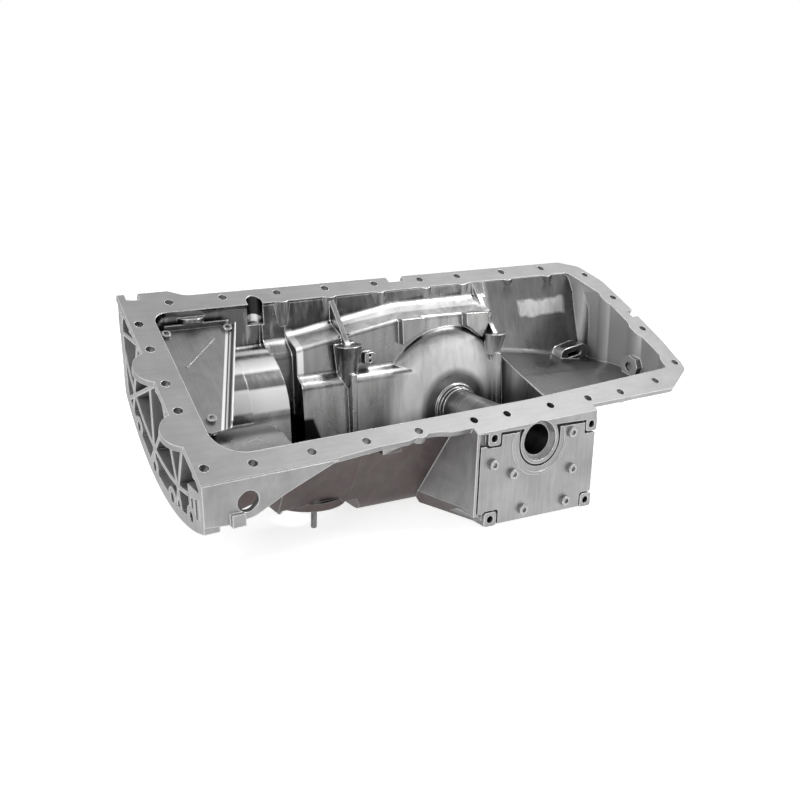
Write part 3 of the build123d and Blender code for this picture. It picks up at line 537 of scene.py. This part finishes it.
# Drawn tube, turned at its ends
def tubeMetal():
    m = Finish("tubeMetal")
    rings = m.noise(420, 3, 0.55, (0.08, 1, 0.08))
    cloud = m.noise(30, 4, 0.6)
    soft = m.rounded(0.6 * mm)
    edge = m.edge(soft).over(0.01, 0.1)
    colour = m.blend((rings * 0.5 + cloud * 0.5).over(0.36, 0.64), grey(0.17), grey(0.34))
    # Painted highlight along edges
    colour = m.blend(edge, colour, grey(0.9))
    rough = 0.24 + 0.14 * cloud
    normal = m.relief(rings, 0.15, 0.2 * mm, soft)
    return m.done(Base_Color=colour, Metallic=1.0, Roughness=rough, Normal=normal)


sheet = {"foot": (46 * mm, 53 * mm), "way": (0.3611, 0.9324)}
# Painted highlight and shade lines for the pressed channel: from, to (mm inward from the foot) and tone
sheet["channel"] = ((-0.6, 1.4, 0.9), (1.9, 4.0, 0.07), (4.5, 5.6, 0.6), (6.0, 7.0, 0.08), (7.4, 9.6, 0.85))


# Rolled sheet of the oil baffle, with painted highlight and shade lines standing for a pressed channel along
# its slanted edge
def sheetMetal():
    m = Finish("sheetMetal")
    roll = m.noise(240, 4, 0.6, (1, 0.1, 0.1))
    cloud = m.noise(28, 4, 0.65, bend=0.7)
    soft = m.rounded(0.5 * mm)
    edge = m.edge(soft).over(0.01, 0.1)
    colour = m.blend((roll * 0.4 + cloud * 0.6).over(0.34, 0.66), grey(0.19), grey(0.27))
    along, across, below = m.fromRail()
    inward = (across - sheet["foot"][1]) * sheet["way"][0] - (along - sheet["foot"][0]) * sheet["way"][1]
    for low, high, tone in sheet["channel"]:
        line = between(inward, low * mm, high * mm, 0.5 * mm) * (1.0 - below.over(20 * mm, 21 * mm))
        colour = m.blend(line * 0.85, colour, grey(tone))
    # Painted highlight along edges
    colour = m.blend(edge, colour, grey(0.88))
    rough = 0.34 + 0.16 * cloud
    normal = m.relief(roll * 0.4 + cloud, 0.2, 0.5 * mm, soft)
    return m.done(Base_Color=colour, Metallic=0.95, Roughness=rough, Normal=normal)


# Thin black gasket
def gasketRubber():
    m = Finish("gasketRubber")
    cloud = m.noise(260, 4, 0.6)
    colour = m.blend(cloud.over(0.35, 0.65), grey(0.022), grey(0.05))
    normal = m.relief(cloud, 0.3, 0.1 * mm)
    return m.done(Base_Color=colour, Metallic=0.0, Roughness=0.6 + 0.2 * cloud, Normal=normal)


finishes = {
    "inside": castInsideWithPaintedLight(),
    "outside": castOutside(),
    "skin": castSkinWithPaintedLight(),
    "milled": milledFace(),
    "cover": coverMetal(),
    "screw": screwMetal(),
    "tube": tubeMetal(),
    "sheet": sheetMetal(),
    "gasket": gasketRubber(),
}
print("finishes made")


copying = {"gap": 0.004 * mm, "smoothBelow": radians(24)}


# A merged copy of one node's mesh, with its sharp edges marked
def nodeCopy(node, name):
    source = frame["nodes"][node]
    mesh = source.data.copy()
    piece = bpy.data.objects.new(name, mesh)
    scene.collection.objects.link(piece)
    shape = bmesh.new()
    shape.from_mesh(mesh)
    bmesh.ops.remove_doubles(shape, verts=shape.verts, dist=copying["gap"])
    for face in shape.faces:
        face.smooth = True
    for edge in shape.edges:
        edge.smooth = edge.is_manifold and edge.calc_face_angle(0) < copying["smoothBelow"]
    shape.to_mesh(mesh)
    shape.free()
    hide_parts(node)
    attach(piece, "root")
    return piece


opening = {"along": (40, 140, 240, 340, 440, 540), "across": (35, 105, 175), "clearance": 1 * mm}
castFaces = {
    "probe": 0.3 * mm, "railTilt": 0.995, "railStep": 0.4 * mm,
    "holeDepth": 12 * mm, "holeTilt": 0.1, "holeReach": 9 * mm,
    "rearEnd": 17 * mm, "nearSide": -11 * mm, "railEdge": 9 * mm,
    "pod": (262 * mm, 430 * mm), "podLevel": 24 * mm,
    "podFlank": (240 * mm, 275 * mm), "flankLevel": 60 * mm, "flankTilt": -0.9,
    "gapAlong": (392 * mm, 412 * mm), "gapAcross": (130 * mm, 164 * mm), "gapDepth": 48 * mm,
}
finishOrder = ("outside", "inside", "milled", "skin")


# Which faces of the casting look into the trough, and which are milled
def paintCasting(piece):
    mesh = piece.data
    mesh.materials.clear()
    for key in finishOrder:
        mesh.materials.append(finishes[key])
    tree = BVHTree.FromPolygons([v.co for v in mesh.vertices], [p.vertices for p in mesh.polygons])
    targets = []
    for along in opening["along"]:
        for across in opening["across"]:
            targets.append(railOrigin + railAlong * along * mm + railAcross * across * mm)
    for polygon in mesh.polygons:
        polygon.material_index = finishOrder.index(faceFinish(polygon, tree, targets))


def isWithin(value, borders):
    return borders[0] < value < borders[1]


def faceFinish(polygon, tree, targets):
    normal = polygon.normal
    centre = polygon.center
    depth = railHeight - railUp.dot(centre)
    if normal.dot(railUp) > castFaces["railTilt"] and abs(depth) < castFaces["railStep"]:
        return "milled"
    start = centre + normal * castFaces["probe"]
    if depth < castFaces["holeDepth"] and abs(normal.dot(railUp)) < castFaces["holeTilt"]:
        if tree.ray_cast(start, normal, castFaces["holeReach"])[0] is not None:
            return "milled"
    for target in targets:
        way = target - start
        if normal.dot(way) <= 0:
            continue
        hit = tree.ray_cast(start, way.normalized(), way.length - opening["clearance"])
        if hit[0] is None:
            return "inside"
    along = railAlong.dot(centre - railOrigin)
    across = railAcross.dot(centre - railOrigin)
    level = centre.y - railOrigin.y
    if along < castFaces["rearEnd"] or level < castFaces["nearSide"] or depth < castFaces["railEdge"]:
        return "skin"
    if isWithin(along, castFaces["pod"]) and level < castFaces["podLevel"]:
        return "skin"
    onFlank = isWithin(along, castFaces["podFlank"]) and level < castFaces["flankLevel"]
    if onFlank and normal.x < castFaces["flankTilt"]:
        return "skin"
    inGap = isWithin(along, castFaces["gapAlong"]) and isWithin(across, castFaces["gapAcross"])
    if inGap and depth < castFaces["gapDepth"]:
        return "inside"
    return "outside"


nearRib = {"level": 20 * mm, "thick": 6 * mm, "front": 90 * mm, "low": -69 * mm, "high": -36 * mm}
nearRib["near"] = 2 * mm


# Lower edge of the upright rib behind the web, which climbs to the front
def trimRib(piece):
    for vertex in piece.data.vertices:
        place = vertex.co - railOrigin
        onRib = nearRib["level"] - nearRib["thick"] < place.y < nearRib["level"] + nearRib["thick"]
        atFront = abs(railAlong.dot(place) - nearRib["front"]) < nearRib["near"]
        if onRib and atFront and abs(place.z - nearRib["low"]) < nearRib["near"]:
            vertex.co.z = railOrigin.z + nearRib["high"]


casting = nodeCopy("pan_casting", "panCasting")
trimRib(casting)
paintCasting(casting)
print("casting painted")

corner = {"start": 404.6 * mm, "end": 413 * mm}
corner["outline"] = ((165, 18.5), (187, 20), (175, 31), (158, 42), (159, 31))


# Wall in the corner between the drive's plate, the slanted front wall and the rail
def closeCorner():
    shape = bmesh.new()
    verts = []
    for across, below in corner["outline"]:
        place = railOrigin + railAlong * corner["start"] + railAcross * across * mm - railUp * below * mm
        verts.append(shape.verts.new(place))
    face = shape.faces.new(verts)
    pushed = bmesh.ops.extrude_face_region(shape, geom=[face])
    moved = [item for item in pushed["geom"] if isinstance(item, bmesh.types.BMVert)]
    bmesh.ops.translate(shape, verts=moved, vec=railAlong * (corner["end"] - corner["start"]))
    bmesh.ops.recalc_face_normals(shape, faces=shape.faces)
    for side in shape.faces:
        side.material_index = int(side.normal.dot(railAlong) > 0.5)
    mesh = bpy.data.meshes.new("cornerWall")
    shape.to_mesh(mesh)
    shape.free()
    piece = bpy.data.objects.new("cornerWall", mesh)
    scene.collection.objects.link(piece)
    mesh.materials.append(finishes["outside"])
    mesh.materials.append(finishes["inside"])
    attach(piece, "root")


closeCorner()
print("corner closed")

studs = {"core": 2.5 * mm, "crest": 3.0 * mm, "pitch": 1.0 * mm, "free": 20 * mm, "root": 10 * mm}
studs.update({"phase": 257, "steps": 28, "chamfer": 0.3 * mm, "start": 0.6 * mm, "plain": 2 * mm})
studs["ridge"] = (0.42, 0.56, 0.98)  # shares of the pitch where a crest starts, ends and is back at the core


# One stud: a profile with its thread's crests, spun about its own axis
def studShape(place):
    shape = bmesh.new()
    core, crest, pitch = studs["core"], studs["crest"], studs["pitch"]
    rise, drop, foot = studs["ridge"]
    points = [(0, 0), (core - studs["chamfer"], 0), (core, studs["chamfer"])]
    for turn in range(round((studs["free"] - studs["plain"]) / pitch)):
        low = studs["start"] + turn * pitch
        points += [(core, low), (crest, low + rise * pitch)]
        points += [(crest, low + drop * pitch), (core, low + foot * pitch)]
    free, top = studs["free"], studs["free"] + studs["root"]
    points += [(crest, free - studs["start"]), (crest, free), (core, free), (core, top), (0, top)]
    verts = [shape.verts.new((radius, 0, height)) for radius, height in points]
    edges = [shape.edges.new(pair) for pair in zip(verts, verts[1:])]
    bmesh.ops.spin(
        shape, geom=verts + edges, cent=(0, 0, 0), axis=(0, 0, 1), angle=2 * pi, steps=studs["steps"],
        use_merge=True)
    bmesh.ops.remove_doubles(shape, verts=shape.verts, dist=0.001 * mm)
    bmesh.ops.recalc_face_normals(shape, faces=shape.faces)
    bmesh.ops.translate(shape, verts=shape.verts, vec=place)
    return shape


# The three studs on their circle, as one piece
def makeStuds():
    mount = mounts["level_sensor_studs"]
    centre = Vector(mount["pos_m"])
    radius = mount["dims"]["pcd_mm"] / 2 * mm
    whole = bmesh.new()
    for third in range(3):
        angle = radians(studs["phase"] + 120 * third)
        place = centre + Vector((radius * cos(angle), radius * sin(angle), 0))
        place.z = frame["nodes"]["sensor_studs"].bound_box[0][2]
        one = studShape(place)
        mesh = bpy.data.meshes.new("stud")
        one.to_mesh(mesh)
        one.free()
        whole.from_mesh(mesh)
    mesh = bpy.data.meshes.new("sensorStuds")
    whole.to_mesh(mesh)
    whole.free()
    piece = bpy.data.objects.new("sensorStuds", mesh)
    scene.collection.objects.link(piece)
    mesh.materials.append(finishes["screw"])
    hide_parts("sensor_studs")
    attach(piece, "root")


makeStuds()
print("studs threaded")

plainNodes = {
    "side_cover": "cover",
    "side_cover_gasket": "gasket",
    "side_cover_screws": "screw",
    "axle_tube": "tube",
    "drain_plug": "screw",
    "drain_washer": "sheet",
    "baffle_plate": "sheet",
    "baffle_screws": "screw",
}
for node, finish in plainNodes.items():
    materials = frame["nodes"][node].data.materials
    materials.clear()
    materials.append(finishes[finish])
print("fittings finished")

floorLook = {"size": 60.0, "colour": 0.80, "glow": 0.76}


# Pale floor that shows nearly white to the camera and in metal, and keeps the shadow
def makeFloor():
    shape = bmesh.new()
    bmesh.ops.create_grid(shape, x_segments=1, y_segments=1, size=floorLook["size"] / 2)
    mesh = bpy.data.meshes.new("floor")
    shape.to_mesh(mesh)
    shape.free()
    floor = bpy.data.objects.new("floor", mesh)
    scene.collection.objects.link(floor)
    m = Finish("paleFloor")
    diffuse = m.make("ShaderNodeBsdfDiffuse", Color=grey(floorLook["colour"]))
    rays = m.make("ShaderNodeLightPath")
    seen = (m.wire(rays.outputs["Is Camera Ray"]) + m.wire(rays.outputs["Is Glossy Ray"])).clipped()
    glow = m.make("ShaderNodeEmission", Color=grey(1.0), Strength=seen * floorLook["glow"])
    both = m.make("ShaderNodeAddShader")
    m.feed(both.inputs[0], diffuse.outputs[0])
    m.feed(both.inputs[1], glow.outputs[0])
    m.feed(m.output.inputs["Surface"], both.outputs[0])
    mesh.materials.append(m.material)


worldLook = {"light": 0.35}


# White world, at full strength where it is seen and softer as light
def makeWorld():
    world = bpy.data.worlds.new("studio")
    scene.world = world
    world.use_nodes = True
    tree = world.node_tree
    tree.nodes.clear()
    rays = tree.nodes.new("ShaderNodeLightPath")
    seen = Wire(tree, rays.outputs["Is Camera Ray"]) + Wire(tree, rays.outputs["Is Glossy Ray"])
    seen = seen + Wire(tree, rays.outputs["Is Transmission Ray"])
    strength = seen.clipped() * (1.0 - worldLook["light"]) + worldLook["light"]
    back = tree.nodes.new("ShaderNodeBackground")
    back.inputs["Color"].default_value = grey(1.0)
    tree.links.new(strength.socket, back.inputs["Strength"])
    output = tree.nodes.new("ShaderNodeOutputWorld")
    tree.links.new(back.outputs[0], output.inputs["Surface"])


lamps = {
    "overhead": {"place": (0.75, -0.25, 1.45), "aim": (0, 0, 0.12), "size": (0.6, 0.6), "power": 9.0},
    "left": {"place": (-1.4, -0.9, 0.9), "aim": (0, 0, 0.12), "size": (0.35, 0.7), "power": 5.0},
    "right": {"place": (1.5, -0.7, 0.8), "aim": (0, 0, 0.12), "size": (0.35, 0.7), "power": 3.5},
    "behind": {"place": (0.3, 1.5, 1.1), "aim": (0, 0, 0.12), "size": (0.9, 0.3), "power": 6.0},
}
cards = {"away": 1.7, "low": 0.12, "high": 0.95, "width": 2.3, "colour": 0.03}


# Dark cards round the table, which only the metal sees
def makeCards():
    m = Finish("cardBlack")
    m.done(Base_Color=grey(cards["colour"]), Roughness=0.9)
    for turn in range(4):
        shape = bmesh.new()
        bmesh.ops.create_grid(shape, x_segments=1, y_segments=1, size=0.5)
        bmesh.ops.scale(shape, verts=shape.verts, vec=(cards["width"], cards["high"] - cards["low"], 1))
        stand = Matrix.Rotation(pi / 2 * turn, 4, "Z") @ Matrix.Translation(
            (0, cards["away"], (cards["high"] + cards["low"]) / 2)) @ Matrix.Rotation(pi / 2, 4, "X")
        bmesh.ops.transform(shape, matrix=stand, verts=shape.verts)
        mesh = bpy.data.meshes.new("card")
        shape.to_mesh(mesh)
        shape.free()
        mesh.materials.append(m.material)
        card = bpy.data.objects.new("card%d" % turn, mesh)
        scene.collection.objects.link(card)
        card.visible_camera = False
        card.visible_diffuse = False
        card.visible_shadow = False


def makeLamp(name, look):
    data = bpy.data.lights.new(name, "AREA")
    data.shape = "RECTANGLE"
    data.size, data.size_y = look["size"]
    data.energy = look["power"]
    lamp = bpy.data.objects.new(name, data)
    lamp.location = look["place"]
    way = Vector(look["aim"]) - Vector(look["place"])
    lamp.rotation_euler = way.to_track_quat("-Z", "Y").to_euler()
    scene.collection.objects.link(lamp)


view = {"place": (-0.5119, -0.7618, 0.3343), "lens": 39.24, "sensor": 36.0}
view.update({"azimuth": -31.3, "elevation": 15.5, "roll": -0.5})  # seen against the crank's line


# The photographer's place, worked out from the part's straight edges
def makeCamera():
    azimuth, elevation = radians(view["azimuth"]), radians(view["elevation"])
    back = Vector((sin(azimuth) * cos(elevation), -cos(azimuth) * cos(elevation), sin(elevation)))
    right = Vector((0, 0, 1)).cross(back).normalized()
    up = back.cross(right)
    turned = Matrix((right, up, back)).transposed()
    turned = levelFromEngine @ turned @ Matrix.Rotation(radians(view["roll"]), 3, "Z")
    data = bpy.data.cameras.new("camera")
    data.lens = view["lens"]
    data.sensor_width = view["sensor"]
    camera = bpy.data.objects.new("camera", data)
    camera.matrix_world = Matrix.Translation(view["place"]) @ turned.to_4x4()
    scene.collection.objects.link(camera)
    scene.camera = camera


makeFloor()
makeWorld()
makeCards()
for lampName, lampLook in lamps.items():
    makeLamp(lampName, lampLook)
makeCamera()
scene.view_settings.view_transform = "Standard"
print("studio set")
